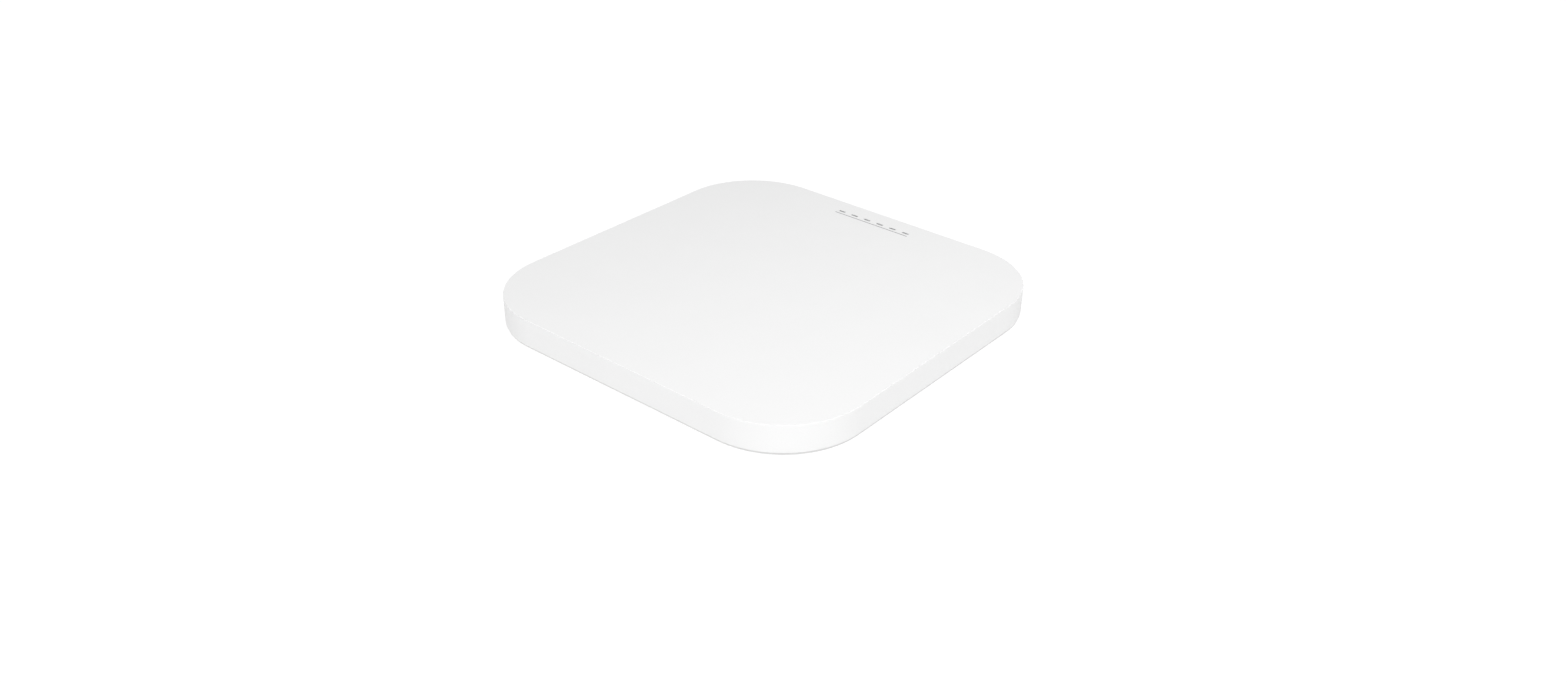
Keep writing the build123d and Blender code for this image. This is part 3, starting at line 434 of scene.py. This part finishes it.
def circle(x, y, radius, steps=48):
    turns = [radians(360 * i / steps) for i in range(steps)]
    return [(x + radius * cos(t), y + radius * sin(t)) for t in turns]


def arc(radius, start, end, steps=32):
    """Points about the origin, from one angle in degrees to another."""
    turns = [radians(start + (end - start) * i / steps) for i in range(steps + 1)]
    return [(radius * cos(t), radius * sin(t)) for t in turns]


def on_circle(radius, angle):
    """One place about the origin."""
    return radius * cos(radians(angle)), radius * sin(radians(angle))


FLANGE_ABOVE_BACK = 10.6     # from the housing's back face to the underside of its flange, mm
CAST_PROUD = 0.22            # how far cast signs stand out of a face, mm
SUNK = 0.02                  # how far they start inside it, mm


def housing_back_z():
    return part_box("rear_label")[1][2] / MM


def ground_symbol(material):
    """The usual earth sign, cast into the back face beside the ground screw."""
    beside, ring_r, line = 10.4, 3.6, 0.4
    stem_up, stem_l = 1.3, 2.4
    bars = ((0.1, 4.2), (1.0, 2.8), (1.9, 1.4))      # how far below the middle, and how wide
    low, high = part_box("ground_screw")
    x, y = (low[0] + high[0]) / 2 / MM, (low[1] + high[1]) / 2 / MM + beside
    back = housing_back_z()
    sign = Relief(back - CAST_PROUD, back + SUNK)
    sign.band(circle(x, y, ring_r), circle(x, y, ring_r - line))
    sign.bar(x, y + stem_up, line, stem_l)
    for drop, width in bars:
        sign.bar(x, y - drop, width, line)
    sign.finish("ground_symbol", "housing", material)


def turn_arrow(material):
    """Arrow cast into the back face: the way to turn, between a filled and an open dot."""
    radius, half_line, half_head = 78.0, 0.5, 1.8
    dot_r, ring_r, ring_hole_r = 1.3, 1.4, 0.9
    start, end, dot_back, tip_on, ring_on = 82, 96, 3, 2.2, 5.5      # degrees
    back = housing_back_z()
    arrow = Relief(back - CAST_PROUD, back + SUNK)
    arrow.prism(arc(radius + half_line, start, end) + arc(radius - half_line, end, start))
    arrow.prism([on_circle(radius + half_head, end), on_circle(radius, end + tip_on),
                 on_circle(radius - half_head, end)])
    arrow.prism(circle(*on_circle(radius, start - dot_back), dot_r))
    ring_at = on_circle(radius, end + ring_on)
    arrow.band(circle(*ring_at, ring_r), circle(*ring_at, ring_hole_r))
    arrow.finish("turn_arrow", "housing", material)


def ejector_marks(material):
    """Round witness marks that the die's ejector pins leave on the flange."""
    far, near, outer_r, inner_r, dot_r, proud = 97.5, 46.0, 2.6, 2.2, 0.5, 0.10
    flange = housing_back_z() + FLANGE_ABOVE_BACK
    marks = Relief(flange - proud, flange + SUNK)
    for side_far in (-far, far):
        for side_near in (-near, near):
            for x, y in ((side_far, side_near), (side_near, side_far)):
                marks.band(circle(x, y, outer_r), circle(x, y, inner_r))
                marks.prism(circle(x, y, dot_r, steps=16))
    marks.finish("ejector_marks", "housing", material)


def label_print(material):
    """Plain ruled boxes printed on the blank label."""
    margin, border, rule, rows, ink_t, ink_in = 2.0, 0.3, 0.25, 4, 0.02, 0.01
    (x0, y0, z0), (x1, y1, _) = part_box("rear_label")
    x, y, face = (x0 + x1) / 2 / MM, (y0 + y1) / 2 / MM, z0 / MM
    width, depth = (x1 - x0) / MM - 2 * margin, (y1 - y0) / MM - 2 * margin
    ink = Relief(face - ink_t, face + ink_in)
    ink.frame(x, y, width, depth, border)
    for row in range(1, rows):
        ink.bar(x, y - depth / 2 + row * depth / rows, width - 2 * border, rule)
    ink.finish("label_print", "housing", material)


# ---------------------------------------------------------------- stage
FLOOR_SIZE = 8.0
FLOOR_GLOW = 0.86            # share of the floor's white that no shadow dims
GLOW_STRENGTH = 1.09
SKY_LIGHT = 0.40
PANEL_TARGET = (0, 0, 0.03)
KEY = {"at": (0.46, -0.22, 1.13), "width": 0.9, "height": 0.9, "power": 11.35}
CORNER_FILL = {"at": (0.28, -1.30, 0.14), "width": 0.6, "height": 0.22, "power": 2.35}
CAMERA_LENS, CAMERA_SENSOR = 31.65, 36.0
CAMERA_AZIMUTH, CAMERA_ELEVATION, CAMERA_ROLL = 39.26, 29.81, -0.99
CAMERA_AT = (0.4147, -0.4923, 0.3666)


def floor():
    """A white floor that mostly glows, to stay as pale as the backdrop. It is clear from below."""
    mesh = bpy.data.meshes.new("floor")
    mesh.from_pydata([(x, y, 0) for x, y in rectangle(0, 0, FLOOR_SIZE, FLOOR_SIZE)], [], [(0, 1, 2, 3)])
    plane = bpy.data.objects.new("floor", mesh)
    bpy.context.scene.collection.objects.link(plane)
    look = Look("floor_white", (0.95, 0.95, 0.95), 0.9)
    look.shader.inputs["Specular IOR Level"].default_value = 0.1
    look.tint(look.spread(look.noise(60.0), 0.0, 0.3), (0.93, 0.93, 0.93))
    glow = look.nodes.new("ShaderNodeEmission")
    glow.inputs["Color"].default_value = (1, 1, 1, 1)
    glow.inputs["Strength"].default_value = GLOW_STRENGTH
    blend = look.nodes.new("ShaderNodeMixShader")
    blend.inputs["Fac"].default_value = FLOOR_GLOW
    look.links.new(look.shader.outputs["BSDF"], blend.inputs[1])
    look.links.new(glow.outputs["Emission"], blend.inputs[2])
    below = look.nodes.new("ShaderNodeNewGeometry").outputs["Backfacing"]
    clear = look.nodes.new("ShaderNodeBsdfTransparent")
    sided = look.nodes.new("ShaderNodeMixShader")
    look.links.new(below, sided.inputs["Fac"])
    look.links.new(blend.outputs["Shader"], sided.inputs[1])
    look.links.new(clear.outputs["BSDF"], sided.inputs[2])
    look.links.new(sided.outputs["Shader"], look.nodes["Material Output"].inputs["Surface"])
    mesh.materials.append(look.material)


def panel(name, at, width, height, power):
    """A soft light at a place, facing the object."""
    lamp = bpy.data.lights.new(name, "AREA")
    lamp.shape = "RECTANGLE"
    lamp.size = width
    lamp.size_y = height
    lamp.energy = power
    holder = bpy.data.objects.new(name, lamp)
    bpy.context.scene.collection.objects.link(holder)
    away = Vector(at) - Vector(PANEL_TARGET)
    holder.rotation_euler = away.to_track_quat("Z", "Y").to_euler()
    holder.location = at


def lights():
    """A soft key from above, a low fill from the front, and a white backdrop."""
    panel("key", **KEY)
    panel("corner_fill", **CORNER_FILL)
    world = bpy.data.worlds.new("studio")
    bpy.context.scene.world = world
    world.use_nodes = True
    sky = world.node_tree.nodes["Background"]
    sky.inputs["Color"].default_value = (1, 1, 1, 1)
    # the backdrop looks as white as the floor, and lights the object less than it looks
    strength = world.node_tree.nodes.new("ShaderNodeMapRange")
    strength.inputs["To Min"].default_value = SKY_LIGHT
    strength.inputs["To Max"].default_value = 1.0
    seen = world.node_tree.nodes.new("ShaderNodeLightPath").outputs["Is Camera Ray"]
    world.node_tree.links.new(seen, strength.inputs["Value"])
    world.node_tree.links.new(strength.outputs["Result"], sky.inputs["Strength"])


def camera():
    azimuth, elevation, roll = radians(CAMERA_AZIMUTH), radians(CAMERA_ELEVATION), radians(CAMERA_ROLL)
    forward = Vector((-sin(azimuth) * cos(elevation), cos(azimuth) * cos(elevation), -sin(elevation)))
    right = Vector((cos(azimuth), sin(azimuth), 0))
    up = right.cross(forward)
    turn = Matrix.Rotation(roll, 3, forward)
    right, up = turn @ right, turn @ up
    data = bpy.data.cameras.new("camera")
    data.lens = CAMERA_LENS
    data.sensor_width = CAMERA_SENSOR
    data.clip_start = 0.01
    holder = bpy.data.objects.new("camera", data)
    bpy.context.scene.collection.objects.link(holder)
    axes = Matrix((right, up, -forward)).transposed().to_4x4()
    holder.matrix_world = Matrix.Translation(Vector(CAMERA_AT)) @ axes
    bpy.context.scene.camera = holder


materials = make_materials()
dress_nodes(materials)
ground_symbol(materials["housing_coat"])
turn_arrow(materials["housing_coat"])
ejector_marks(materials["housing_coat"])
label_print(materials["chip_black"])
floor()
lights()
camera()
bpy.context.scene.view_settings.view_transform = "Standard"
